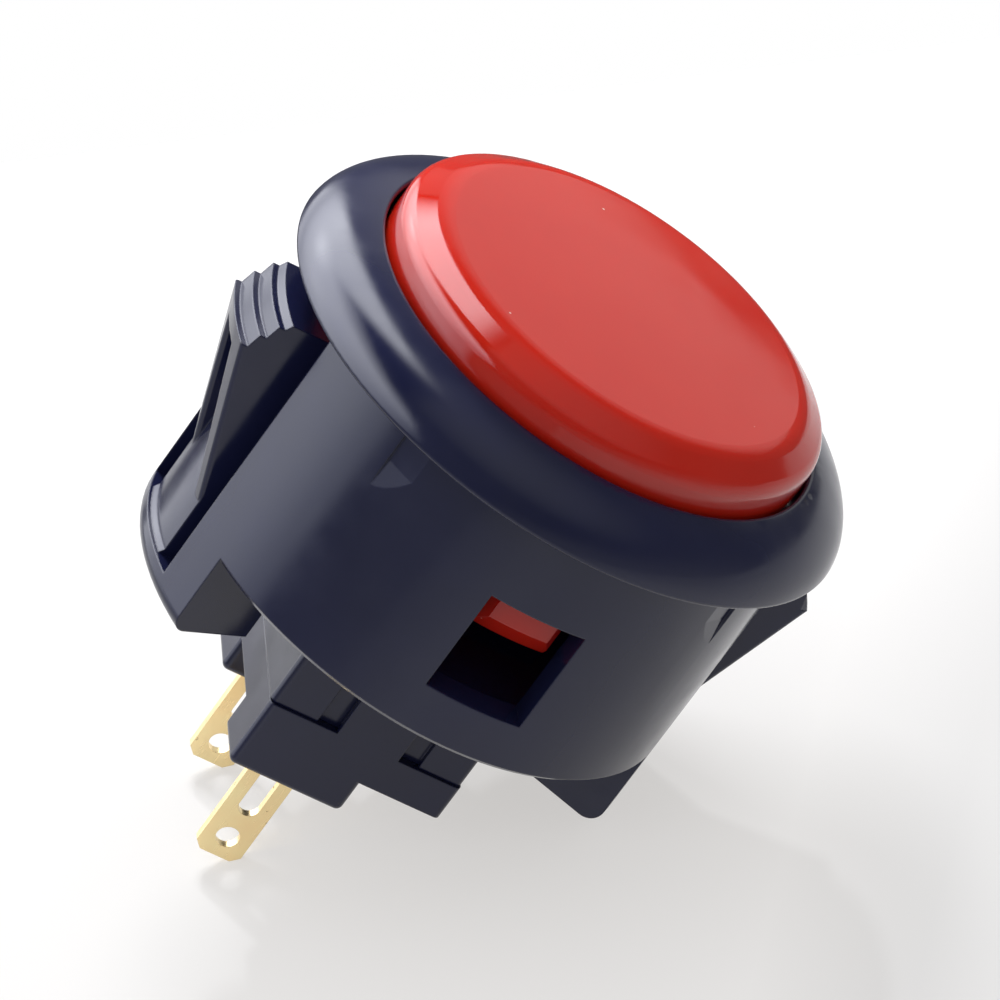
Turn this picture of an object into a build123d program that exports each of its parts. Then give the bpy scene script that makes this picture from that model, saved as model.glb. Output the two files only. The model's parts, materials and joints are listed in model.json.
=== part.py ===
from build123d import *
import math
import os

# Snap-in arcade push button with its built-in switch, at its real size in millimetres.
# +Z is the way the plunger rises, and z = 0 is the underside of the rim, where it sits on a panel.
# The snap arms are on +X and -X, and the windows for the plunger's hooks are on +Y and -Y.

# Fits
SLIDE_GAP = 0.20  # plunger in the housing's bore
GUIDE_GAP = 0.15  # parts that slide or push into an opening
SEAT_GAP = 0.05  # parts that rest on one another but move apart

# Panel and housing
PANEL_HOLE_D = 30.0
PANEL_PLAY = 0.2
RIM_OVERHANG = 1.7
RIM_HEIGHT = 3.5
RIM_REACH = 6.3
RIM_EDGE_ROUND = 0.25
LIP_ROUND = 0.2
BARREL_WALL = 1.9
BARREL_DEPTH = 14.2
BARREL_EDGE_CHAMFER = 0.3
FLOOR_RECESS = 0.8
FLOOR_THICKNESS = 1.5
WINDOW_WIDTH = 5.6
WINDOW_DROP = 4.9
WINDOW_HEIGHT = 6.3
FLAT_ANGLE = 46.5  # clip-side edge of each shallow flat under the rim, from the nearer snap arm
FLAT_SPAN = 7.0
FLAT_DEPTH = 0.15
FLAT_DROP = 2.5
FLAT_RUN_OUT = 1.7

# Legs and snap arms, one of each at either end
LEG_HALF_ANGLE = 29.0
LEG_DROP = 4.85
LEG_DEPTH = 6.6
LEG_ROUND = 1.0
LEG_SOLE = 1.5
LEG_BACK_WALL = 1.8
SLOT_WIDTH = 9.3
ARM_WIDTH = 6.0
ARM_SET_BACK = 0.4
ARM_THICKNESS = 1.3
ARM_FOOT_HEIGHT = 0.3
ARM_FOOT_RAMP = 0.25
ARM_FOOT_STEP = 0.18
ARM_FLARE_START = 13.9
ARM_HEAD_PROUD = 2.7
PANEL_MIN = 2.15  # thinnest panel that the arms' heads close on
TOOTH_COUNT = 3
TOOTH_PITCH = 0.9
TOOTH_LEDGE = 0.36
TOOTH_LEAN = 0.22
CHANNEL_TOP_WIDTH = 2.4
CHANNEL_FOOT_WIDTH = 4.0
CHANNEL_HEAD_BLOCK = 1.05
RAIL_ROUND = 0.25

# Plunger
TRAVEL = 2.2
CAP_SIDE_HEIGHT = 4.18
SHOULDER_WIDTH = 2.3
SHOULDER_ANGLE = 31.0
SHOULDER_TOP_ROUND = 2.0
SHOULDER_SIDE_ROUND = 0.9
CROWN = 0.3
CAP_THICKNESS = 1.8
SKIRT_WALL = 1.5
SKIRT_DROP = 4.0
HOOK_WIDTH = 4.32
HOOK_HEIGHT = 1.75
HOOK_BITE = 0.6
HOOK_BEVEL_DROP = 1.0
HOOK_BEVEL_DEPTH = 0.6
HOOK_CORNER = 0.4
HOOK_LEG_THICKNESS = 1.2
LEG_SET_BACK = 0.1  # hook legs and stop feet behind the skirt's face
STOP_FOOT_ANGLE = 10.0
STOP_SPARE = 0.1
BOSS_R = 2.6
RIB_THICKNESS = 1.0
RIB_HEIGHT = 3.0

# Switch case and base
SWITCH_CENTRE_X = 0.375
SWITCH_LENGTH = 11.65
SWITCH_WIDTH = 11.9
CASE_INSET = 0.2
CASE_HEIGHT = 7.8
CASE_WALL = 1.0
CASE_ROOF = 1.0
NECK_INSET = 0.7
NECK_RISE = 1.3
SNAP_WIDTH = 3.0
SNAP_BITE = 0.4
SNAP_HEIGHT = 0.9
TONGUE_WIDTH = 3.7
TONGUE_OFFSET = 0.09
TONGUE_HEIGHT = 5.0
TONGUE_THICKNESS = 0.5
TONGUE_NOTCH = 1.25
LATCH_WIDTH = 2.0
LATCH_HEIGHT = 1.2
LATCH_DROP = 1.0
BASE_PLATE = 2.2
BASE_SKIN = 1.0
BLOCK_DROP = 2.2
BLOCK_LENGTH = 6.85
BLOCK_WIDTH = 3.6
CORNER_ROUND = 0.4
SPIGOT_HEIGHT = 1.5
WELL_R = 1.7

# Terminals and contacts
TAB_WIDTH = 2.7
TAB_THICKNESS = 0.5
TAB_LENGTH = 6.45
TAB_OFFSET = 0.25  # from the middle of the tab's block towards the switch's end
TAB_CHAMFER = 0.45
TAB_HOLE_D = 1.3
TAB_HOLE_FROM_END = 1.35
TAB_SLOT_WIDTH = 1.2
TAB_SLOT_FROM_END = 3.0
SHELF_OVERRUN = 1.0  # shelf's reach past the button's axis
SHELF_GAP = 3.8
SHOULDER_DEPTH = 1.0
CONTACT_SPREAD = 5.4
FIXED_CONTACT_R = 0.75
FIXED_CONTACT_T = 0.4
MOVING_CONTACT_R = 0.6
MOVING_CONTACT_T = 0.35
CONTACT_GAP = 0.8
BRIDGE_LENGTH = 7.0
BRIDGE_WIDTH = 1.8
BRIDGE_THICKNESS = 0.3
BRIDGE_HUB_R = 2.0

# Actuator and springs
ACTUATOR_R = 2.2
ACTUATOR_STAND = 4.55
FLANGE_R = 3.2
FLANGE_THICKNESS = 1.05
STEM_R = 1.0
STEM_HEAD_R = 1.5
STEM_HEAD_HEIGHT = 0.9
STEM_PLAY = 0.2
WIRE_D = 0.25
RETURN_SPRING_R = 1.1
RETURN_SPRING_TURNS = 4.5
CONTACT_SPRING_R = 1.55
CONTACT_SPRING_TURNS = 5.5

# Levels and radii that follow from the sizes above
BARREL_R = PANEL_HOLE_D / 2 - PANEL_PLAY
BORE_R = BARREL_R - BARREL_WALL
RIM_R = BARREL_R + RIM_OVERHANG
BARREL_END = -BARREL_DEPTH
FLOOR_UNDER = BARREL_END + FLOOR_RECESS
FLOOR_TOP = FLOOR_UNDER + FLOOR_THICKNESS
LEG_END = BARREL_END - LEG_DROP
LEG_INNER_X = BARREL_R - LEG_DEPTH
SLOT_END = LEG_END + LEG_SOLE
ARM_R = BARREL_R - ARM_SET_BACK
PLUNGER_R = BORE_R - SLIDE_GAP
CASE_TOP = FLOOR_TOP + NECK_RISE
ACTUATOR_TOP = CASE_TOP + ACTUATOR_STAND
BOSS_END = ACTUATOR_TOP + SEAT_GAP
CASE_END = FLOOR_UNDER - CASE_HEIGHT
BASE_END = CASE_END - BASE_PLATE
BLOCK_END = BASE_END - BLOCK_DROP
TAB_END = BLOCK_END - TAB_LENGTH
SPIGOT_TOP = CASE_END + SPIGOT_HEIGHT
SHELF_TOP = SPIGOT_TOP + TAB_THICKNESS
FIXED_TOP = SHELF_TOP + FIXED_CONTACT_T
BRIDGE_UNDER = FIXED_TOP + CONTACT_GAP + MOVING_CONTACT_T
BRIDGE_TOP = BRIDGE_UNDER + BRIDGE_THICKNESS
STEM_HEAD_TOP = BRIDGE_UNDER - SEAT_GAP
STEM_END = STEM_HEAD_TOP - STEM_HEAD_HEIGHT
WELL_FLOOR = BASE_END + BASE_SKIN
FLANGE_TOP = CASE_TOP - CASE_ROOF - GUIDE_GAP
FLANGE_UNDER = FLANGE_TOP - FLANGE_THICKNESS
SWITCH_LEFT = SWITCH_CENTRE_X - SWITCH_LENGTH / 2
TAB_X = SWITCH_LEFT + BLOCK_LENGTH / 2 - TAB_OFFSET
TAB_Y = SWITCH_WIDTH / 2 - BLOCK_WIDTH / 2
CASE_WIDTH = SWITCH_WIDTH - 2 * CASE_INSET
NECK_LENGTH = SWITCH_LENGTH - 2 * NECK_INSET
NECK_WIDTH = CASE_WIDTH - 2 * NECK_INSET
CAVITY_LENGTH = SWITCH_LENGTH - 2 * CASE_WALL
CAVITY_WIDTH = CASE_WIDTH - 2 * CASE_WALL
FAR = 4 * PANEL_HOLE_D


def block(x, y, z):
    """Box between two limits on each axis."""
    size = [abs(b - a) for a, b in (x, y, z)]
    centre = [(a + b) / 2 for a, b in (x, y, z)]
    return Pos(*centre) * Box(*size)


def middle(centre, width):
    """Limits of a width about its centre."""
    return centre - width / 2, centre + width / 2


def turned(*edges):
    """Solid of revolution about Z from the edges of an outline given as (radius, z)."""
    outline = Curve() + list(edges)
    return revolve(Plane.XZ * make_face(outline), Axis.Z)


def disc(radius, low, high):
    """Upright cylinder on the button's axis."""
    return Pos(0, 0, (low + high) / 2) * Cylinder(radius, high - low)


def both_ends(solid):
    """A solid and its twin turned half round the button's axis."""
    return solid + Rot(0, 0, 180) * solid


def sector(inner, outer, low, high, mid_angle, angle):
    """Part of a ring, about mid_angle from +X."""
    reach = 2 * outer
    half = math.radians(angle / 2)
    wedge = Polygon((0, 0), (reach, -reach * math.tan(half)), (reach, reach * math.tan(half)), align=None)
    solid = extrude(Pos(0, 0, low) * wedge, high - low) & (disc(outer, low, high) - disc(inner, low, high))
    return Rot(0, 0, mid_angle) * solid


def coil(radius, turns, low, high):
    """Round-wire spring whose end turns touch the two levels."""
    height = high - low - WIRE_D
    path = Pos(0, 0, low + WIRE_D / 2) * Helix(height / turns, height, radius)
    section = Plane(path @ 0, z_dir=path % 0) * Circle(WIRE_D / 2)
    return sweep(section, path, is_frenet=True)


def blank():
    """Rim, barrel, floor and a full ring as deep as the legs, as one turned shape."""
    level_r = RIM_R - RIM_REACH
    lip_angle = math.acos((BORE_R - level_r) / RIM_REACH)
    lip_z = RIM_HEIGHT * math.sin(lip_angle)
    solid = turned(
        EllipticalCenterArc((level_r, 0), RIM_REACH, RIM_HEIGHT, 0, arc_size=math.degrees(lip_angle)),
        Polyline(
            (BORE_R, lip_z),
            (BORE_R, FLOOR_TOP),
            (0, FLOOR_TOP),
            (0, LEG_END),
            (BARREL_R, LEG_END),
            (BARREL_R, 0),
            (RIM_R, 0),
        ),
    )
    for radius, level, rounding in (
        (BORE_R, lip_z, LIP_ROUND),
        (RIM_R, 0, RIM_EDGE_ROUND),
        (BARREL_R, LEG_END, LEG_ROUND),
    ):
        rings = solid.edges().filter_by(GeomType.CIRCLE)
        solid = fillet(rings.sort_by_distance((radius, 0, level))[0], rounding)
    return solid


def between_legs():
    """Space under the floor and the barrel's chamfered lower edge, all but the two legs."""
    corner_r = BARREL_R - BARREL_EDGE_CHAMFER
    past = BARREL_R + BARREL_EDGE_CHAMFER
    space = turned(
        Polyline(
            (0, FLOOR_UNDER),
            (BORE_R, FLOOR_UNDER),
            (BORE_R, BARREL_END),
            (corner_r, BARREL_END),
            (past, BARREL_END + past - corner_r),
            (past, 2 * LEG_END),
            (0, 2 * LEG_END),
            close=True,
        )
    )
    spread = FAR * math.tan(math.radians(LEG_HALF_ANGLE))
    wedge = extrude(Pos(0, 0, 2 * LEG_END) * Polygon((0, 0), (FAR, -spread), (FAR, spread), align=None), FAR)
    return space - both_ends(wedge & block((LEG_INNER_X, FAR), (-FAR, FAR), (-FAR, FAR)))


def snap_arm():
    """Springy arm at +X: a leaf rising from the leg's sole and a flared, toothed head."""
    head_r = BARREL_R + ARM_HEAD_PROUD
    inner_r = ARM_R - ARM_THICKNESS
    head_top = -PANEL_MIN
    tooth_z = head_top - (TOOTH_COUNT - 0.55) * TOOTH_PITCH
    outline = [
        (inner_r, SLOT_END - LEG_SOLE / 2),
        (ARM_R + ARM_FOOT_STEP, SLOT_END - LEG_SOLE / 2),
        (ARM_R + ARM_FOOT_STEP, SLOT_END + ARM_FOOT_HEIGHT - ARM_FOOT_RAMP),
        (ARM_R, SLOT_END + ARM_FOOT_HEIGHT),
        (ARM_R, -ARM_FLARE_START),
    ]
    for step in range(TOOTH_COUNT):
        edge_r = head_r - step * (TOOTH_LEDGE + TOOTH_LEAN)
        edge_z = tooth_z + step * TOOTH_PITCH
        outline += [(edge_r, edge_z), (edge_r - TOOTH_LEDGE, edge_z)]
    outline += [(outline[-1][0] - TOOTH_LEAN, head_top), (inner_r, head_top)]
    arm = turned(Polyline(*outline, close=True))
    arm &= block((0, FAR), middle(0, ARM_WIDTH), (-FAR, FAR))
    channel_top = tooth_z - CHANNEL_HEAD_BLOCK
    top_half = CHANNEL_TOP_WIDTH / 2
    foot_half = CHANNEL_FOOT_WIDTH / 2
    opening = make_face(
        Polyline((-top_half, channel_top), (-foot_half, -ARM_FLARE_START), (foot_half, -ARM_FLARE_START),
                 (top_half, channel_top), close=True)
    )
    channel = extrude(Plane.YZ * opening, FAR) - disc(ARM_R, -FAR, FAR)
    arm -= channel
    rise = tooth_z + ARM_FLARE_START
    outward = ARM_R + ARM_HEAD_PROUD / 4
    rails = arm.edges().filter_by(
        lambda edge: edge.bounding_box().size.Z > rise / 2 and math.hypot(edge.center().X, edge.center().Y) > outward
    )
    return fillet(rails, RAIL_ROUND)


def flat():
    """Space of a shallow flat under the rim: a small wall on the clip side, running out ahead and below."""
    def at(radius, angle):
        return Vector(radius * math.cos(math.radians(angle)), radius * math.sin(math.radians(angle)), 0)

    corner = at(BARREL_R - FLAT_DEPTH, FLAT_ANGLE)
    along = (at(BARREL_R, FLAT_ANGLE + FLAT_SPAN) - corner).normalized()
    face = Plane(corner - Vector(0, 0, FLAT_DROP), x_dir=along, z_dir=along.cross(Vector(0, 0, 1)))
    reach = BARREL_R / 2
    upright = block((0, reach), (-reach, FLAT_DROP), (0, reach))
    lean = Rot(-math.degrees(math.atan2(FLAT_DEPTH, FLAT_RUN_OUT)), 0, 0)
    return face * (upright & lean * block((-reach, 2 * reach), (-2 * reach, reach), (0, 2 * reach)))


def housing():
    """Rim, barrel, floor, legs and snap arms: one moulding."""
    solid = blank() - between_legs()
    corner = flat()
    for cut in (corner, mirror(corner, Plane.XZ), mirror(corner, Plane.YZ), Rot(0, 0, 180) * corner):
        solid -= cut
    neck_x = middle(SWITCH_CENTRE_X, NECK_LENGTH + 2 * GUIDE_GAP)
    neck_y = middle(0, NECK_WIDTH + 2 * GUIDE_GAP)
    solid -= block(neck_x, neck_y, (-FAR, FLOOR_TOP + FLOOR_THICKNESS))
    slot_x = (LEG_INNER_X + LEG_BACK_WALL, FAR)
    solid -= both_ends(block(slot_x, middle(0, SLOT_WIDTH), (SLOT_END, 0)))
    window_top = -WINDOW_DROP
    solid -= block(middle(0, WINDOW_WIDTH), (-FAR, FAR), (window_top - WINDOW_HEIGHT, window_top))
    return solid + both_ends(snap_arm())


def plunger():
    """Red cap with its skirt, centre boss, ribs, stop feet and two hooked legs: one moulding."""
    crown_r = PLUNGER_R - SHOULDER_WIDTH
    sphere_r = (crown_r**2 + CROWN**2) / (2 * CROWN)
    tilt = math.asin(crown_r / sphere_r)
    slope = math.radians(SHOULDER_ANGLE)
    steep = 90 - SHOULDER_ANGLE
    cone_top_r = crown_r + SHOULDER_TOP_ROUND * (math.sin(slope) - math.sin(tilt))
    cone_end_r = PLUNGER_R - SHOULDER_SIDE_ROUND * (1 - math.sin(slope))
    cone_end_z = CAP_SIDE_HEIGHT + SHOULDER_SIDE_ROUND * math.cos(slope)
    cone_top_z = cone_end_z + (cone_end_r - cone_top_r) * math.tan(slope)
    shoulder_z = cone_top_z + SHOULDER_TOP_ROUND * (math.cos(tilt) - math.cos(slope))
    top_round = (crown_r - SHOULDER_TOP_ROUND * math.sin(tilt), shoulder_z - SHOULDER_TOP_ROUND * math.cos(tilt))
    side_round = (PLUNGER_R - SHOULDER_SIDE_ROUND, CAP_SIDE_HEIGHT)
    lean = math.degrees(tilt)
    skirt_inner = PLUNGER_R - SKIRT_WALL
    cap_under = shoulder_z - CAP_THICKNESS
    cap = turned(
        CenterArc((0, shoulder_z + CROWN - sphere_r), sphere_r, 90 - lean, lean),
        CenterArc(top_round, SHOULDER_TOP_ROUND, steep, SHOULDER_ANGLE - lean),
        Line((cone_top_r, cone_top_z), (cone_end_r, cone_end_z)),
        CenterArc(side_round, SHOULDER_SIDE_ROUND, 0, steep),
        Polyline(
            (PLUNGER_R, CAP_SIDE_HEIGHT),
            (PLUNGER_R, -SKIRT_DROP),
            (skirt_inner, -SKIRT_DROP),
            (skirt_inner, cap_under),
            (0, cap_under),
            (0, shoulder_z + CROWN),
        ),
    )
    cap += disc(BOSS_R, BOSS_END, cap_under)
    ribs = block((-skirt_inner, skirt_inner), middle(0, RIB_THICKNESS), (cap_under - RIB_HEIGHT, cap_under))
    cap += ribs + Rot(0, 0, 90) * ribs
    stop_end = FLOOR_TOP + TRAVEL + STOP_SPARE
    foot_inner, foot_outer = skirt_inner + LEG_SET_BACK, PLUNGER_R - LEG_SET_BACK
    for angle in (45, 135, 225, 315):
        cap += sector(foot_inner, foot_outer, stop_end, -SKIRT_DROP + SKIRT_WALL, angle, STOP_FOOT_ANGLE)
    return cap + both_ends(hook())


def hook():
    """Leg and nose at -Y that keep the plunger in the housing."""
    nose_r = BORE_R + HOOK_BITE
    back_r = PLUNGER_R - HOOK_LEG_THICKNESS
    nose_top = -WINDOW_DROP - SEAT_GAP
    face_end = nose_top - HOOK_HEIGHT
    nose_end = face_end - HOOK_BEVEL_DROP
    nose = turned(
        Polyline(
            (nose_r, nose_top),
            (nose_r, face_end),
            (nose_r - HOOK_BEVEL_DEPTH, nose_end),
            (back_r, nose_end),
            (back_r, nose_top),
            close=True,
        )
    )
    half = HOOK_WIDTH / 2
    side_y = -math.sqrt(nose_r**2 - half**2)
    plan = Polygon(
        (-half, 0),
        (-half, side_y + HOOK_CORNER),
        (HOOK_CORNER - half, side_y),
        (HOOK_CORNER - half, 2 * side_y),
        (half - HOOK_CORNER, 2 * side_y),
        (half - HOOK_CORNER, side_y),
        (half, side_y + HOOK_CORNER),
        (half, 0),
        align=None,
    )
    nose &= extrude(Pos(0, 0, 2 * nose_end) * plan, -2 * nose_end)
    upper = block(middle(0, HOOK_WIDTH), (-FAR, -back_r), (nose_top, -SKIRT_DROP + SKIRT_WALL))
    return nose + (upper & disc(PLUNGER_R - LEG_SET_BACK, -FAR, FAR))


def switch_case():
    """Upper shell of the switch: a box that hangs under the floor, with a neck that snaps through it."""
    cx = SWITCH_CENTRE_X
    shell = block(middle(cx, SWITCH_LENGTH), middle(0, CASE_WIDTH), (CASE_END, FLOOR_UNDER))
    shell = fillet(shell.edges().filter_by(Axis.Z), CORNER_ROUND)
    shell += block(middle(cx, NECK_LENGTH), middle(0, NECK_WIDTH), (FLOOR_UNDER, CASE_TOP))
    snap_low = FLOOR_TOP + SEAT_GAP
    face_y = NECK_WIDTH / 2
    wedge = make_face(
        Polyline((face_y - SNAP_BITE, snap_low), (face_y + SNAP_BITE, snap_low), (face_y, snap_low + SNAP_HEIGHT),
                 (face_y - SNAP_BITE, snap_low + SNAP_HEIGHT), close=True)
    )
    snap = Pos(cx - SNAP_WIDTH / 2, 0, 0) * extrude(Plane.YZ * wedge, SNAP_WIDTH)
    shell += snap + mirror(snap, Plane.XZ)
    shell -= block(middle(cx, CAVITY_LENGTH), middle(0, CAVITY_WIDTH), (CASE_END, FLOOR_UNDER - CASE_ROOF))
    neck_cavity = [size - 2 * CASE_WALL for size in (NECK_LENGTH, NECK_WIDTH)]
    shell -= block(middle(cx, neck_cavity[0]), middle(0, neck_cavity[1]), (CASE_END, CASE_TOP - CASE_ROOF))
    shell -= disc(ACTUATOR_R + GUIDE_GAP, CASE_TOP - 2 * CASE_ROOF, CASE_TOP)
    return shell - tongue_recess() + latches()


def tongue_x(extra=0.0):
    return middle(SWITCH_CENTRE_X + TONGUE_OFFSET, TONGUE_WIDTH + 2 * extra)


def tongue_recess():
    """Shallow channels in the case's front and back that take the base's tongues."""
    deep_y = SWITCH_WIDTH / 2 - TONGUE_THICKNESS - SEAT_GAP
    top = CASE_END + TONGUE_HEIGHT + GUIDE_GAP
    cut = block(tongue_x(TONGUE_NOTCH), (deep_y, FAR), (CASE_END, top))
    return cut + mirror(cut, Plane.XZ)


def latch_limits(gap):
    """Limits of a latch or of its opening, by the gap round it."""
    top = CASE_END + TONGUE_HEIGHT - LATCH_DROP + gap
    x = middle(SWITCH_CENTRE_X + TONGUE_OFFSET, LATCH_WIDTH + 2 * gap)
    return x, (top - LATCH_HEIGHT - 2 * gap, top)


def latches():
    """Small blocks on the case that catch in the tongues' openings."""
    deep_y = SWITCH_WIDTH / 2 - TONGUE_THICKNESS - SEAT_GAP
    x, z = latch_limits(0)
    solid = block(x, (deep_y, deep_y + SEAT_GAP + TONGUE_THICKNESS / 2), z)
    return solid + mirror(solid, Plane.XZ)


def tab_slot():
    """Opening in the base for one terminal, wide above for its shoulder, at +Y."""
    tab_x = middle(TAB_X, TAB_WIDTH)
    y = middle(TAB_Y, TAB_THICKNESS)
    wide = block((tab_x[0], SHELF_OVERRUN), y, (CASE_END - SHOULDER_DEPTH, SPIGOT_TOP))
    return wide + block(tab_x, y, (BLOCK_END, CASE_END))


def switch_base():
    """Lower half of the switch: plate, two terminal blocks, spigot and two snap tongues."""
    cx = SWITCH_CENTRE_X
    half_y = SWITCH_WIDTH / 2
    solid = block(middle(cx, SWITCH_LENGTH), (-half_y, half_y), (BASE_END, CASE_END))
    solid = fillet(solid.edges().filter_by(Axis.Z), CORNER_ROUND)
    foot = block((SWITCH_LEFT, SWITCH_LEFT + BLOCK_LENGTH), (half_y - BLOCK_WIDTH, half_y), (BLOCK_END, CASE_END))
    foot = fillet(foot.edges().filter_by(Axis.Z), CORNER_ROUND)
    foot = fillet(foot.edges().group_by(Axis.Z)[0], CORNER_ROUND)
    solid += foot + mirror(foot, Plane.XZ)
    spigot_y = TAB_Y - TAB_THICKNESS / 2
    spigot_x = middle(cx, CAVITY_LENGTH - 2 * GUIDE_GAP)
    solid += block(spigot_x, (-spigot_y, spigot_y), (CASE_END, SPIGOT_TOP))
    tongue = block(tongue_x(), (half_y - TONGUE_THICKNESS, half_y), (CASE_END, CASE_END + TONGUE_HEIGHT))
    latch_x, latch_z = latch_limits(GUIDE_GAP)
    tongue -= block(latch_x, (-FAR, FAR), latch_z)
    solid += tongue + mirror(tongue, Plane.XZ)
    solid -= disc(WELL_R, WELL_FLOOR, SPIGOT_TOP)
    opening = tab_slot()
    return solid - opening - mirror(opening, Plane.XZ)


def terminal():
    """Flat tab at +Y with its solder slot and hole, and the bent shelf that carries a contact."""
    left, right = middle(TAB_X, TAB_WIDTH)
    outline = Polyline(
        (left, SHELF_TOP),
        (left, TAB_END + TAB_CHAMFER),
        (left + TAB_CHAMFER, TAB_END),
        (right - TAB_CHAMFER, TAB_END),
        (right, TAB_END + TAB_CHAMFER),
        (right, CASE_END - SHOULDER_DEPTH),
        (SHELF_OVERRUN, CASE_END - SHOULDER_DEPTH),
        (SHELF_OVERRUN, SHELF_TOP),
        close=True,
    )
    plan = make_face(outline) - Pos(TAB_X, TAB_END + TAB_HOLE_FROM_END) * Circle(TAB_HOLE_D / 2)
    slot_low = TAB_END + TAB_SLOT_FROM_END + TAB_SLOT_WIDTH / 2
    slot_high = BLOCK_END + TAB_SLOT_WIDTH / 2
    plan -= Pos(TAB_X, slot_low) * Circle(TAB_SLOT_WIDTH / 2)
    plan -= Pos(TAB_X, (slot_low + slot_high) / 2) * Rectangle(TAB_SLOT_WIDTH, slot_high - slot_low)
    blade = Pos(0, TAB_Y, 0) * extrude(Plane.XZ * plan, TAB_THICKNESS / 2, both=True)
    shelf = block((left, SHELF_OVERRUN), (SHELF_GAP / 2, TAB_Y), (SPIGOT_TOP, SHELF_TOP))
    return blade + shelf


def contact_bridge():
    """Strip that joins the two contacts, with a hub that slides on the stem."""
    x, y = middle(0, BRIDGE_WIDTH), middle(0, BRIDGE_LENGTH)
    solid = block(x, y, (BRIDGE_UNDER, BRIDGE_TOP)) + disc(BRIDGE_HUB_R, BRIDGE_UNDER, BRIDGE_TOP)
    return solid - disc(STEM_R + STEM_PLAY, BRIDGE_UNDER, BRIDGE_TOP)


def actuator():
    """Push rod of the switch: button, flange, stem and the head that lifts the bridge."""
    solid = disc(ACTUATOR_R, FLANGE_UNDER, ACTUATOR_TOP) + disc(FLANGE_R, FLANGE_UNDER, FLANGE_TOP)
    return solid + disc(STEM_R, STEM_END, FLANGE_UNDER) + disc(STEM_HEAD_R, STEM_END, STEM_HEAD_TOP)


def contact(radius, low, high, side):
    """Contact point on one side of the axis."""
    return Pos(0, side * CONTACT_SPREAD / 2, 0) * disc(radius, low, high)


def main():
    rear = terminal()
    moving_low = BRIDGE_UNDER - MOVING_CONTACT_T
    pieces = {
        "housing": housing(),
        "plunger": plunger(),
        "switch_case": switch_case(),
        "switch_base": switch_base(),
        "actuator": actuator(),
        "contact_bridge": contact_bridge(),
        "terminal_rear": rear,
        "terminal_front": mirror(rear, Plane.XZ),
        "return_spring": coil(RETURN_SPRING_R, RETURN_SPRING_TURNS, WELL_FLOOR, STEM_END),
        "contact_spring": coil(CONTACT_SPRING_R, CONTACT_SPRING_TURNS, BRIDGE_TOP, FLANGE_UNDER),
    }
    for name, side in (("front", -1), ("rear", 1)):
        pieces["fixed_contact_" + name] = contact(FIXED_CONTACT_R, SHELF_TOP, FIXED_TOP, side)
        pieces["moving_contact_" + name] = contact(MOVING_CONTACT_R, moving_low, BRIDGE_UNDER, side)
    os.makedirs("parts", exist_ok=True)
    for name, piece in pieces.items():
        export_step(piece, os.path.join("parts", name + ".step"))


main()
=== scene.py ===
"""Snap-in push button: finishes for its moulded, plated and sprung parts, and the studio they stand in.

The part keeps its own upright frame. The table is tilted instead, because the button lies on its
terminals and the edge of one leg.
"""

import json
import math
from functools import reduce

import bmesh
import bpy
from bpy.props import FloatProperty, FloatVectorProperty, IntProperty, PointerProperty
from mathutils import Matrix, Vector


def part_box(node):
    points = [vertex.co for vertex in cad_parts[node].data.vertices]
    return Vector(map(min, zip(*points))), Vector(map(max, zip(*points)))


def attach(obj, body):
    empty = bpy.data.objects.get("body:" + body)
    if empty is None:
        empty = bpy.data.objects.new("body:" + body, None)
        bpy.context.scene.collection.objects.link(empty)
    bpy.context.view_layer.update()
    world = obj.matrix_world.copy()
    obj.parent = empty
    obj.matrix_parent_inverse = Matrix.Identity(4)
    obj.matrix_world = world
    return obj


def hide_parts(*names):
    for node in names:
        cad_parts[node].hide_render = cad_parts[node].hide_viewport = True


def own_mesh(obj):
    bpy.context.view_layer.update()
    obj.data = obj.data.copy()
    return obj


bl_info = {
    "name": "Snap-in Push Button",
    "version": (1, 0, 0),
    "blender": (4, 5, 0),
    "location": "View3D > Sidebar > Push Button",
    "description": "Finishes the packed push button and sets up its studio",
    "category": "Object",
}

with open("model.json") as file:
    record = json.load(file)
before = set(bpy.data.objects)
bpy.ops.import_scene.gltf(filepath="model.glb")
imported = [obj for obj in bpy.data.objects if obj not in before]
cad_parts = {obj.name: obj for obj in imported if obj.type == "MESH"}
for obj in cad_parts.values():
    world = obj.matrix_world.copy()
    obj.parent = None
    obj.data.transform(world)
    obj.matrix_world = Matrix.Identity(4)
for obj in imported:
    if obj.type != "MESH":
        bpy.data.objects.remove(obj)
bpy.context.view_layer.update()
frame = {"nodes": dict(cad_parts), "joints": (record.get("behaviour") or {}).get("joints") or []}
MM = 0.001

# Table: how far it reaches along its slope and across it, in metres, and the way to its side with painted
# shade
TABLE_ALONG = (-0.3, 0.2)
TABLE_ACROSS = (-0.14, 0.066)
TABLE_PAINTED_SHADE_WAY = (0.92, -0.24, 0.29)

# Lamps: where the near one hangs and its size, in metres, and the way to the key light
NEAR_LAMP_PLACE = Vector((-0.055, 0.085, 0.055))
NEAR_LAMP_SIZE = 0.04
KEY_WAY = Vector((-0.346, 0.792, 0.500))

# Softbox: its first corner and two edges, in metres, and its plan and bulb in shares of those edges
SOFTBOX_DISTANCE = 0.45
SOFTBOX_CORNER = Vector((-0.132, 1.86, -0.028)) * SOFTBOX_DISTANCE
SOFTBOX_RISE = Vector((-0.12, -0.632, 0.765)) * SOFTBOX_DISTANCE
SOFTBOX_RUN = Vector((-0.538, -0.607, -0.586)) * SOFTBOX_DISTANCE
SOFTBOX_PLAN = ((0.0, -0.30), (3.30, -0.30), (3.30, 2.40), (0.0, 2.40))
SOFTBOX_BULB = (0.69, 0.97, 0.0)

# Room: the ways to its backdrop, its ceiling and its light side
BACKDROP_WAY = Vector((0.26, 0.84, 0.46)).normalized()
CEILING_WAY = Vector((-0.10, -0.15, 0.98)).normalized()
FILL_WAY = Vector((-0.85, 0.40, 0.34)).normalized()

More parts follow.
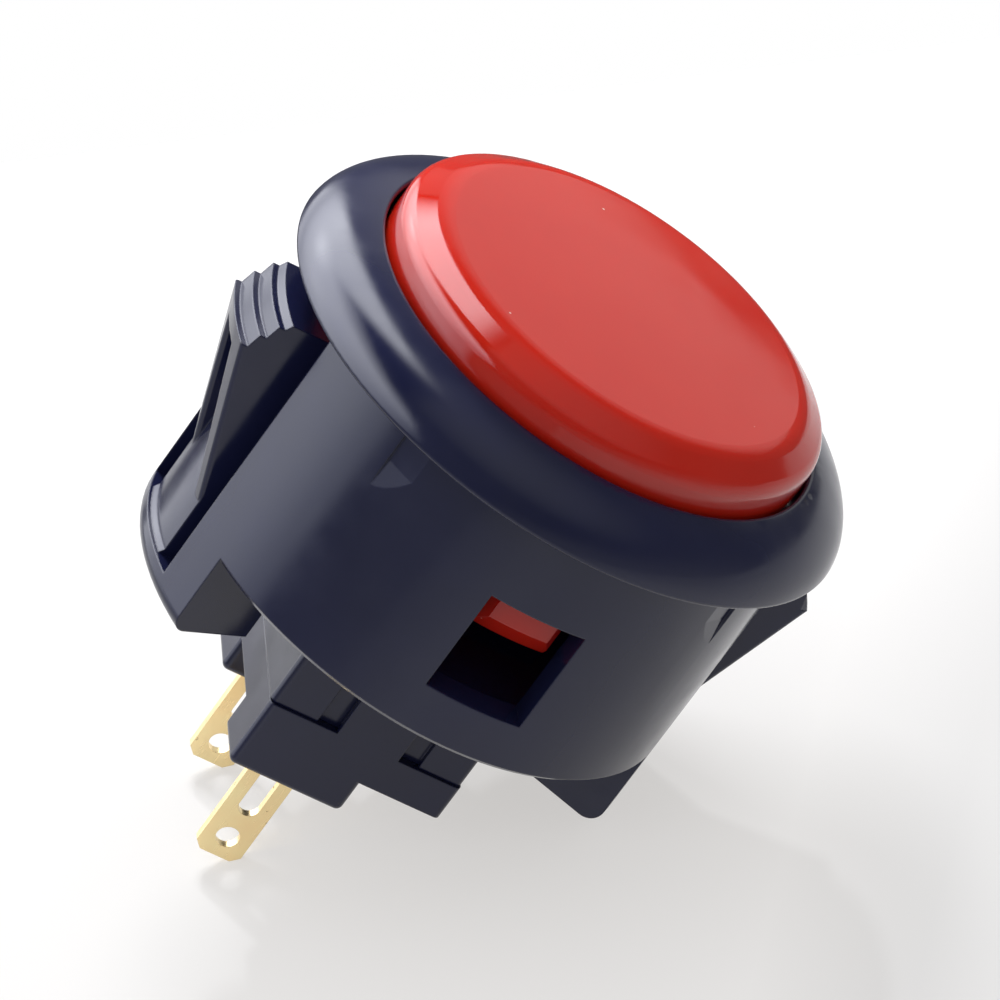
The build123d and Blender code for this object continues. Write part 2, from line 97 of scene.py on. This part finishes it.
# Camera: its axes, and its place in metres
CAMERA_RIGHT = Vector((0.84581, -0.06980, 0.52890))
CAMERA_UP = Vector((-0.40073, 0.57133, 0.71624))
CAMERA_BACK = Vector((-0.35217, -0.81775, 0.45527))
CAMERA_PLACE = Vector((-0.164003, -0.382462, 0.205131))


def colour(name, description, default):
    """A colour property with the usual limits."""
    return FloatVectorProperty(
        name=name, description=description, default=default, subtype="COLOR", size=3, min=0.0, max=1.0
    )


def length(name, description, default):
    """A length property in metres."""
    return FloatProperty(
        name=name, description=description, default=default, unit="LENGTH", min=0.0, precision=5
    )


def factor(name, description, default):
    """A property that runs from none to full."""
    return FloatProperty(
        name=name, description=description, default=default, subtype="FACTOR", min=0.0, max=1.0
    )


def tilt(name, description, degrees):
    """An angle property, given in degrees."""
    return FloatProperty(name=name, description=description, default=math.radians(degrees), subtype="ANGLE")


def amount(name, description, default, low=0.0, unit="NONE"):
    """A plain number with a lower limit."""
    return FloatProperty(name=name, description=description, default=default, min=low, unit=unit)


class MouldingSettings(bpy.types.PropertyGroup):
    """Dark moulded plastic of the housing and the switch."""

    tone: colour("Tone", "Colour of the moulding", (0.0095, 0.0118, 0.043))
    tone_pale: colour("Paler tone", "Colour of its paler flow marks", (0.0118, 0.0142, 0.050))
    roughness: factor("Roughness", "Mean roughness of the moulded skin", 0.17)
    edge_round: length("Edge rounding", "Rounding of the moulding's sharp edges", 0.14 * MM)


class CapSettings(bpy.types.PropertyGroup):
    """Polished red plunger."""

    tone: colour("Tone", "Colour of the plunger", (0.57, 0.020, 0.008))
    tone_deep: colour("Deeper tone", "Colour of its deeper patches", (0.545, 0.0165, 0.007))
    roughness: factor("Roughness", "Mean roughness of the polish", 0.08)
    depth: length("Depth", "How far light wanders inside the red plastic", 2.4 * MM)


class TerminalSettings(bpy.types.PropertyGroup):
    """Plated tabs and the bridge."""

    tone: colour("Plating", "Colour of the gold plating", (0.99, 0.752, 0.405))
    stain: colour("Stain", "Colour of the small dull spots", (0.30, 0.18, 0.08))
    roughness: factor("Roughness", "Mean roughness of the plating", 0.30)


class SpringSettings(bpy.types.PropertyGroup):
    """The two coil springs inside the switch."""

    wire: length("Wire", "Diameter of the spring wire", 0.25 * MM)
    return_turns: amount("Return turns", "Turns of the return spring", 4.5, low=1.0)
    contact_turns: amount("Contact turns", "Turns of the contact spring", 5.5, low=1.0)
    steps: IntProperty(name="Steps", description="Sections in each turn", default=32, min=8)


class StageSettings(bpy.types.PropertyGroup):
    """Table, lights and camera."""

    lean: tilt("Lean", "Tilt of the table under the lying button", 38.0)
    key: amount("Key", "Strength of the key light", 0.7)
    key_width: tilt("Key width", "Apparent width of the key light", 3.0)
    softbox: amount("Softbox", "Brightness of the softbox in reflections", 6.7)
    glow: amount("Glow", "Power of the near lamp", 0.105, unit="POWER")
    fill: amount("Fill", "Brightness of the room's light side", 1.04)
    fill_dim: amount("Dim fill", "Brightness of the room's dark side", 0.22)
    backdrop: amount("Backdrop", "Brightness of the backdrop in reflections", 0.62)
    shade: amount("Shade", "Brightness of the dim side of the room", 0.13)
    horizon: amount("Horizon", "Brightness near the front horizon", 0.21)
    ceiling: amount("Ceiling", "Brightness overhead in reflections", 0.35)
    table: colour("Table", "Colour of the table", (0.38, 0.384, 0.395))
    table_lift: amount("Table lift", "Evenness of the bright table", 0.54)
    lens: amount("Lens", "Focal length in millimetres", 324.0, low=1.0, unit="CAMERA")


class Shader:
    """Small helper that lays out the nodes of one material or of the world."""

    def __init__(self, owner, output="ShaderNodeOutputMaterial"):
        owner.use_nodes = True
        self.owner = owner
        self.tree = owner.node_tree
        self.tree.nodes.clear()
        self.output = self.add(output)
        self.place = self.add("ShaderNodeTexCoord").outputs["Object"]

    def add(self, kind, inputs=(), **values):
        """A node with its plain values set and its sockets linked or filled."""
        node = self.tree.nodes.new(kind)
        for key, value in values.items():
            setattr(node, key, value)
        for key, value in dict(inputs).items():
            if isinstance(value, bpy.types.NodeSocket):
                self.tree.links.new(value, node.inputs[key])
            else:
                node.inputs[key].default_value = value
        return node

    def noise(self, scale, detail=3.0, vector=None):
        """Noise over the piece, at so many features per metre."""
        source = self.place if vector is None else vector
        node = self.add("ShaderNodeTexNoise", {"Vector": source, "Scale": scale, "Detail": detail})
        return node.outputs["Fac"]

    def remap(self, value, low, high, to_low=0.0, to_high=1.0):
        """A value stretched from one range to another and clamped."""
        node = self.add(
            "ShaderNodeMapRange",
            {"Value": value, "From Min": low, "From Max": high, "To Min": to_low, "To Max": to_high},
        )
        return node.outputs["Result"]

    def polish(self, scale, detail, mean, below, above):
        """Roughness that wanders about its mean."""
        return self.remap(self.noise(scale, detail), 0.3, 0.7, mean - below, mean + above)

    def mix(self, share, first, second):
        """Two colours mixed by a share."""
        node = self.add("ShaderNodeMix", data_type="RGBA")
        for index, value in ((0, share), (6, first), (7, second)):
            if isinstance(value, bpy.types.NodeSocket):
                self.tree.links.new(value, node.inputs[index])
            else:
                node.inputs[index].default_value = value
        return node.outputs[2]

    def bump(self, height, depth, strength, normal=None):
        """A bump of a given depth in metres."""
        node = self.add("ShaderNodeBump", {"Height": height, "Distance": depth, "Strength": strength})
        if normal is not None:
            self.tree.links.new(normal, node.inputs["Normal"])
        return node.outputs["Normal"]

    def combine(self, operation, first, second):
        """Two values joined by one operation."""
        node = self.add("ShaderNodeMath", {0: first, 1: second}, operation=operation)
        return node.outputs["Value"]

    def product(self, first, second):
        """One value times another."""
        return self.combine("MULTIPLY", first, second)

    def total(self, first, second):
        """One value plus another."""
        return self.combine("ADD", first, second)

    def blend(self, share, first, second):
        """Two shaders mixed by a share."""
        return self.add("ShaderNodeMixShader", {"Fac": share, 1: first, 2: second}).outputs["Shader"]

    def emission(self, tint, strength):
        """A glow of one tint."""
        node = self.add("ShaderNodeEmission", {"Color": tint, "Strength": strength})
        return node.outputs["Emission"]

    def close(self, shader):
        """The finished shader, joined to the output."""
        self.tree.links.new(shader, self.output.inputs["Surface"])
        return self.owner

    def surface(self, **inputs):
        """The principled surface, joined to the output."""
        return self.close(self.add("ShaderNodeBsdfPrincipled", inputs).outputs["BSDF"])


def finish(name):
    """Node helper on a new material."""
    return Shader(bpy.data.materials.new(name))


def rgba(value):
    """A colour with full opacity."""
    return (*value, 1.0)


def dust(shader, scale, share):
    """Mask of sparse specks, as many features per metre as scale."""
    cells = shader.add("ShaderNodeTexVoronoi", {"Vector": shader.place, "Scale": scale, "Randomness": 1.0})
    speck = shader.remap(cells.outputs["Distance"], 0.07, 0.03)
    chosen = shader.remap(shader.noise(scale * 0.35, 1.0), 1.0 - share, 1.0 - share + 0.02)
    return shader.product(speck, chosen)


def moulded_plastic(name, settings, grain):
    """Dark satin moulding with flow marks, fine grain, rounded edges and a little dust."""
    shader = finish(name)
    flow = shader.remap(shader.noise(140.0, 4.0), 0.35, 0.65)
    tone = shader.mix(flow, rgba(settings.tone), rgba(settings.tone_pale))
    specks = dust(shader, 900.0, 0.26)
    tone = shader.mix(specks, tone, (0.30, 0.30, 0.32, 1.0))
    rough = shader.polish(420.0, 5.0, settings.roughness, 0.04, 0.06)
    edge = shader.add("ShaderNodeBevel", {"Radius": settings.edge_round}, samples=6).outputs["Normal"]
    waves = shader.bump(shader.noise(160.0, 2.0), 0.02 * MM, 0.25, edge)
    skin = shader.bump(shader.noise(5200.0, 3.0), 0.004 * MM, grain, waves)
    return shader.surface(
        **{"Base Color": tone, "Roughness": rough, "Normal": skin, "IOR": 1.5, "Specular IOR Level": 0.5}
    )


def polished_red(settings):
    """Polished red moulding with faint waves and dust."""
    shader = finish("plunger_red")
    cloud = shader.remap(shader.noise(90.0, 3.0), 0.35, 0.65)
    tone = shader.mix(cloud, rgba(settings.tone_deep), rgba(settings.tone))
    specks = dust(shader, 760.0, 0.36)
    tone = shader.mix(specks, tone, (0.85, 0.60, 0.55, 1.0))
    rough = shader.polish(300.0, 5.0, settings.roughness, 0.03, 0.05)
    edge = shader.add("ShaderNodeBevel", {"Radius": 0.08 * MM}, samples=6).outputs["Normal"]
    waves = shader.bump(shader.noise(130.0, 2.0), 0.015 * MM, 0.2, edge)
    skin = shader.bump(shader.noise(6000.0, 2.0), 0.002 * MM, 0.1, waves)
    return shader.surface(
        **{
            "Base Color": tone,
            "Roughness": rough,
            "Normal": skin,
            "IOR": 1.5,
            "Specular IOR Level": 0.5,
            "Subsurface Weight": 0.5,
            "Subsurface Radius": (1.0, 0.10, 0.06),
            "Subsurface Scale": settings.depth,
        }
    )


def gold_plating(settings):
    """Plated tab with a drawn grain along its length and small dull spots."""
    shader = finish("gold_plating")
    stretch = shader.add("ShaderNodeMapping", {"Vector": shader.place, "Scale": (1.0, 1.0, 0.08)})
    grain = shader.noise(9000.0, 3.0, stretch.outputs["Vector"])
    cloud = shader.remap(shader.noise(420.0, 4.0), 0.3, 0.7)
    paler = [min(1.0, 1.08 * part + 0.02) for part in settings.tone]
    tone = shader.mix(cloud, rgba(settings.tone), rgba(paler))
    spots = shader.remap(shader.noise(1900.0, 3.0), 0.69, 0.74)
    tone = shader.mix(spots, tone, rgba(settings.stain))
    rough = shader.remap(grain, 0.25, 0.75, settings.roughness - 0.06, settings.roughness + 0.10)
    edge = shader.add("ShaderNodeBevel", {"Radius": 0.05 * MM}, samples=6).outputs["Normal"]
    skin = shader.bump(grain, 0.004 * MM, 0.25, edge)
    return shader.surface(**{"Base Color": tone, "Roughness": rough, "Normal": skin, "Metallic": 1.0})


def pale_plastic():
    """Plain pale moulding of the push rod."""
    shader = finish("push_rod_plastic")
    tone = shader.mix(shader.noise(200.0, 3.0), (0.58, 0.57, 0.53, 1.0), (0.66, 0.65, 0.61, 1.0))
    rough = shader.remap(shader.noise(700.0, 3.0), 0.3, 0.7, 0.35, 0.48)
    skin = shader.bump(shader.noise(5200.0, 2.0), 0.004 * MM, 0.2)
    return shader.surface(**{"Base Color": tone, "Roughness": rough, "Normal": skin})


def bright_metal(name, tone, roughness):
    """Bare metal of the springs and contact points."""
    shader = finish(name)
    darker = [0.86 * part for part in tone]
    blend = shader.mix(shader.noise(2600.0, 3.0), rgba(darker), rgba(tone))
    rough = shader.polish(5200.0, 4.0, roughness, 0.05, 0.08)
    return shader.surface(**{"Base Color": blend, "Roughness": rough, "Metallic": 1.0})


def dress(node, material):
    """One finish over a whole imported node."""
    slots = frame["nodes"][node].material_slots
    if not slots:
        raise RuntimeError(node + " has no material slot")
    for slot in slots:
        slot.material = material


def coil(name, radius, low, high, wire, turns, steps):
    """Round-wire coil on the button's axis, between two levels."""
    mesh = bmesh.new()
    count = round(turns * steps)
    sides = 10
    rise = high - low - wire
    rings = []
    for index in range(count + 1):
        share = index / count
        angle = 2 * math.pi * turns * share
        outward = Vector((math.cos(angle), math.sin(angle), 0))
        centre = outward * radius + Vector((0, 0, low + wire / 2 + rise * share))
        ring = []
        for side in range(sides):
            turn = 2 * math.pi * side / sides
            offset = outward * math.cos(turn) + Vector((0, 0, math.sin(turn)))
            ring.append(mesh.verts.new(centre + offset * wire / 2))
        rings.append(ring)
    for first, second in zip(rings, rings[1:]):
        for side in range(sides):
            after = (side + 1) % sides
            mesh.faces.new((first[side], second[side], second[after], first[after]))
    mesh.faces.new(rings[0])
    mesh.faces.new(reversed(rings[-1]))
    bmesh.ops.recalc_face_normals(mesh, faces=mesh.faces)
    for face in mesh.faces:
        face.smooth = len(face.verts) == 4
    data = bpy.data.meshes.new(name)
    mesh.to_mesh(data)
    mesh.free()
    piece = bpy.data.objects.new(name, data)
    bpy.context.scene.collection.objects.link(piece)
    return piece


class PUSHBUTTON_OT_housing(bpy.types.Operator):
    """Finish the housing's dark moulding"""

    bl_idname = "push_button.housing"
    bl_label = "Housing"

    def execute(self, context):
        dress("housing", moulded_plastic("housing_moulding", context.scene.push_button_moulding, 0.18))
        return {"FINISHED"}


class PUSHBUTTON_OT_plunger(bpy.types.Operator):
    """Finish the polished red plunger"""

    bl_idname = "push_button.plunger"
    bl_label = "Plunger"

    def execute(self, context):
        dress("plunger", polished_red(context.scene.push_button_cap))
        return {"FINISHED"}


class PUSHBUTTON_OT_switch(bpy.types.Operator):
    """Finish the switch's case, base and push rod"""

    bl_idname = "push_button.switch"
    bl_label = "Switch"

    def execute(self, context):
        shell = moulded_plastic("switch_moulding", context.scene.push_button_moulding, 0.30)
        dress("switch_case", shell)
        dress("switch_base", shell)
        dress("actuator", pale_plastic())
        return {"FINISHED"}


class PUSHBUTTON_OT_terminals(bpy.types.Operator):
    """Finish the plated tabs, the bridge and the contact points"""

    bl_idname = "push_button.terminals"
    bl_label = "Terminals and contacts"

    def execute(self, context):
        plating = gold_plating(context.scene.push_button_terminals)
        for node in ("terminal_front", "terminal_rear", "contact_bridge"):
            dress(node, plating)
        silver = bright_metal("contact_silver", (0.80, 0.79, 0.76), 0.25)
        for kind in ("fixed", "moving"):
            for side in ("front", "rear"):
                dress(kind + "_contact_" + side, silver)
        return {"FINISHED"}


class PUSHBUTTON_OT_springs(bpy.types.Operator):
    """Wind the two springs as coils and attach each to its body"""

    bl_idname = "push_button.springs"
    bl_label = "Springs"

    def execute(self, context):
        settings = context.scene.push_button_springs
        steel = bright_metal("spring_steel", (0.62, 0.62, 0.64), 0.28)
        travel = {joint["name"]: joint["range_m"][1] for joint in frame["joints"]}
        press = travel["actuator_slide"]
        left_over = press - travel["bridge_slide"]
        for node, body, turns, closing, fixed in (
            ("return_spring", "body", settings.return_turns, press, 0),
            ("contact_spring", "push_rod", settings.contact_turns, left_over, 1),
        ):
            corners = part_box(node)
            low, high = corners[0][2], corners[1][2]
            radius = (corners[1][0] - corners[0][0] - settings.wire) / 2
            piece = coil(node + "_coil", radius, low, high, settings.wire, turns, settings.steps)
            piece.data.materials.append(steel)
            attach(piece, body)
            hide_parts(node)
            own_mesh(piece)
        return {"FINISHED"}


def softbox(settings):
    """Large softbox, seen only in reflections."""
    data = bpy.data.meshes.new("softbox")
    corners = [SOFTBOX_CORNER + a * SOFTBOX_RUN + b * SOFTBOX_RISE for a, b in SOFTBOX_PLAN]
    data.from_pydata(corners, [], [(0, 1, 2, 3)])
    plan = data.uv_layers.new(name="plan")
    for loop, place in zip(plan.data, SOFTBOX_PLAN):
        loop.uv = place
    sheet = bpy.data.objects.new("softbox", data)
    bpy.context.scene.collection.objects.link(sheet)
    sheet.visible_camera = False
    sheet.visible_diffuse = False
    sheet.visible_shadow = False
    data.materials.append(softbox_finish(settings))


def softbox_finish(settings):
    """Glow of the softbox: a wide sheet and an upright strip, with one soft bulb, cooler where dim."""
    shader = finish("softbox")
    place = shader.add("ShaderNodeTexCoord").outputs["UV"]
    split = shader.add("ShaderNodeSeparateXYZ", {"Vector": place}).outputs
    across, height = split["X"], split["Y"]
    along = shader.remap(across, 1.10, 2.60, 1.0, 0.27)
    low = shader.remap(height, 0.35, 0.95, 0.32, 1.0)
    slope = shader.total(height, shader.product(across, -0.8))
    wide_edges = (
        shader.remap(across, 0.10, 0.28),
        shader.remap(across, 3.30, 2.80),
        shader.remap(slope, 1.10, 0.65),
    )
    slant = shader.total(across, shader.product(height, 0.6))
    strip_edges = (
        shader.remap(across, 0.02, 0.16),
        shader.remap(slant, 1.62, 1.40),
        shader.remap(height, 2.40, 1.95),
    )
    shape = shader.combine("MAXIMUM", reduce(shader.product, wide_edges), reduce(shader.product, strip_edges))
    away = shader.add("ShaderNodeVectorMath", {0: place, 1: SOFTBOX_BULB}, operation="DISTANCE")
    bulb = shader.remap(away.outputs["Value"], 0.22, 0.0, 0.0, 0.4)
    lit = shader.product(shader.total(along, bulb), shape)
    level = shader.product(lit, shader.product(low, settings.softbox))
    tint = shader.mix(along, (0.80, 0.84, 1.0, 1.0), (0.93, 0.945, 1.0, 1.0))
    return shader.close(shader.emission(tint, level))


def table_finish(settings, foot):
    """Pale table that keeps the shadow, carries painted shade on one side and in reflections, and is
    see-through from below.
    """
    shader = finish("table")
    path = shader.add("ShaderNodeLightPath").outputs
    direct = path["Is Camera Ray"]
    seen = shader.combine("MAXIMUM", direct, path["Is Glossy Ray"])
    seen = shader.combine("MAXIMUM", seen, path["Is Transmission Ray"])
    cloth = shader.add("ShaderNodeBsdfDiffuse", {"Color": rgba(settings.table)}).outputs["BSDF"]
    # Painted shade: reflections see the table's glow fade away from the foot, and the camera sees the table
    # painted darker on one side
    away = shader.add("ShaderNodeVectorMath", {0: shader.place, 1: foot}, operation="DISTANCE")
    # painted reflection shade: the table's glow fades in reflections away from the foot
    painted_reflection_fade = shader.remap(away.outputs["Value"], 0.025, 0.10, 0.88, 0.30)
    beside = shader.add("ShaderNodeVectorMath", {0: shader.place, 1: TABLE_PAINTED_SHADE_WAY}, operation="DOT_PRODUCT")
    # painted shade: the camera sees the table darker towards one side
    painted_side_shade = shader.remap(beside.outputs["Value"], 0.018, 0.026, 1.0, 0.78)
    glanced = shader.product(shader.combine("SUBTRACT", 1.0, direct), painted_reflection_fade)
    share = shader.total(shader.product(direct, painted_side_shade), glanced)
    glow = shader.emission((1.0, 0.972, 0.94, 1.0), shader.product(share, settings.table_lift))
    lifted = shader.add("ShaderNodeAddShader", {0: cloth, 1: glow}).outputs["Shader"]
    below = shader.add("ShaderNodeNewGeometry").outputs["Backfacing"]
    clear = shader.add("ShaderNodeBsdfTransparent").outputs["BSDF"]
    return shader.close(shader.blend(below, shader.blend(seen, cloth, lifted), clear))


class PUSHBUTTON_OT_stage(bpy.types.Operator):
    """Set the table, the lights, the room and the camera"""

    bl_idname = "push_button.stage"
    bl_label = "Stage"

    def execute(self, context):
        settings = context.scene.push_button_stage
        self.lay_table(settings)
        self.hang_lights(settings)
        self.paint_room(context.scene, settings)
        self.place_camera(context.scene, settings)
        context.scene.view_settings.view_transform = "Standard"
        return {"FINISHED"}

    def table_up(self, settings):
        """The way straight up from the table."""
        return Vector((-math.sin(settings.lean), 0, math.cos(settings.lean)))

    def lay_table(self, settings):
        """Lay the tilted table under the button's lowest points."""
        up = self.table_up(settings)
        level = min(up.dot(v.co) for node in frame["nodes"].values() for v in node.data.vertices)
        along = Vector((math.cos(settings.lean), 0, math.sin(settings.lean)))
        across = Vector((0, 1, 0))
        low, high = TABLE_ALONG
        near, far = TABLE_ACROSS
        places = ((low, near), (high, near), (high, far), (low, far))
        corners = [up * level + along * a + across * b for a, b in places]
        data = bpy.data.meshes.new("table")
        data.from_pydata(corners, [], [(0, 1, 2, 3)])
        data.materials.append(table_finish(settings, up * level))
        table = bpy.data.objects.new("table", data)
        bpy.context.scene.collection.objects.link(table)

    def hang_lights(self, settings):
        """Hang the softbox, the near lamp and the key light."""
        softbox(settings)
        self.hang_lamp("near_lamp", "AREA", NEAR_LAMP_PLACE, energy=settings.glow, size=NEAR_LAMP_SIZE)
        self.hang_lamp("key", "SUN", KEY_WAY, energy=settings.key, angle=settings.key_width)

    def hang_lamp(self, name, kind, place, **values):
        """Hang one lamp that shines at the button and shows in no reflection."""
        data = bpy.data.lights.new(name, kind)
        for key, value in values.items():
            setattr(data, key, value)
        lamp = bpy.data.objects.new(name, data)
        lamp.location = place
        lamp.rotation_euler = place.to_track_quat("Z", "Y").to_euler()
        lamp.visible_glossy = False
        lamp.visible_camera = False
        bpy.context.scene.collection.objects.link(lamp)

    def paint_room(self, scene, settings):
        """Paint the room: white to the camera, shaded in reflections, and a soft fill for the rest."""
        world = bpy.data.worlds.new("room")
        room = Shader(world, "ShaderNodeOutputWorld")
        path = room.add("ShaderNodeLightPath").outputs
        way = room.add("ShaderNodeTexCoord").outputs["Generated"]

        def along(direction, low, high, to_low=0.0, to_high=1.0):
            facing = room.add("ShaderNodeVectorMath", {0: way, 1: direction}, operation="DOT_PRODUCT")
            return room.remap(facing.outputs["Value"], low, high, to_low, to_high)

        table_up = self.table_up(settings)
        card = room.product(along(table_up, 0.038, 0.050), along(BACKDROP_WAY, 0.87, 1.0))
        front = room.product(along(table_up, 0.30, 0.0), along((0, 1, 0), 0.3, -0.3))
        above = along(CEILING_WAY, 0.80, 1.0)
        mirrored = settings.shade
        parts = ((card, settings.backdrop), (front, settings.horizon), (above, settings.ceiling))
        for part, strength in parts:
            mirrored = room.total(room.product(part, strength), mirrored)
        fill = along(FILL_WAY, -0.7, 1.0, settings.fill_dim, settings.fill)

        def background(strength):
            node = room.add("ShaderNodeBackground", {"Color": (1, 1, 1, 1), "Strength": strength})
            return node.outputs["Background"]

        shown = room.blend(path["Is Glossy Ray"], background(fill), background(mirrored))
        clear = room.combine("MAXIMUM", path["Is Camera Ray"], path["Is Transmission Ray"])
        room.close(room.blend(clear, shown, background(1.0)))
        scene.world = world

    def place_camera(self, scene, settings):
        """Stand the camera where the button is seen from above its left."""
        data = bpy.data.cameras.new("camera")
        data.lens = settings.lens
        data.sensor_width = 36.0
        data.clip_start = 0.01
        data.clip_end = 20.0
        camera = bpy.data.objects.new("camera", data)
        scene.collection.objects.link(camera)
        turn = Matrix((CAMERA_RIGHT, CAMERA_UP, CAMERA_BACK)).transposed()
        camera.matrix_world = Matrix.Translation(CAMERA_PLACE) @ turn.to_4x4()
        scene.camera = camera


class PUSHBUTTON_PT_sidebar(bpy.types.Panel):
    """Lists the button's settings and its makers"""

    bl_idname = "PUSHBUTTON_PT_sidebar"
    bl_label = "Push Button"
    bl_space_type = "VIEW_3D"
    bl_region_type = "UI"
    bl_category = "Push Button"

    def draw(self, context):
        for name, group in SETTINGS.items():
            box = self.layout.box()
            settings = getattr(context.scene, name)
            for key in group.__annotations__:
                box.prop(settings, key)
        for maker in MAKERS:
            self.layout.operator(maker.bl_idname)


SETTINGS = {
    "push_button_moulding": MouldingSettings,
    "push_button_cap": CapSettings,
    "push_button_terminals": TerminalSettings,
    "push_button_springs": SpringSettings,
    "push_button_stage": StageSettings,
}
MAKERS = (
    PUSHBUTTON_OT_stage,
    PUSHBUTTON_OT_housing,
    PUSHBUTTON_OT_plunger,
    PUSHBUTTON_OT_switch,
    PUSHBUTTON_OT_terminals,
    PUSHBUTTON_OT_springs,
)


def register():
    for name, group in SETTINGS.items():
        bpy.utils.register_class(group)
        setattr(bpy.types.Scene, name, PointerProperty(type=group))
    for maker in MAKERS:
        bpy.utils.register_class(maker)
    bpy.utils.register_class(PUSHBUTTON_PT_sidebar)


def unregister():
    bpy.utils.unregister_class(PUSHBUTTON_PT_sidebar)
    for maker in reversed(MAKERS):
        bpy.utils.unregister_class(maker)
    for name, group in reversed(SETTINGS.items()):
        delattr(bpy.types.Scene, name)
        bpy.utils.unregister_class(group)


def main():
    register()
    bpy.ops.push_button.stage()
    bpy.ops.push_button.housing()
    bpy.ops.push_button.plunger()
    bpy.ops.push_button.switch()
    bpy.ops.push_button.terminals()
    bpy.ops.push_button.springs()


if __name__ == "__main__":
    main()
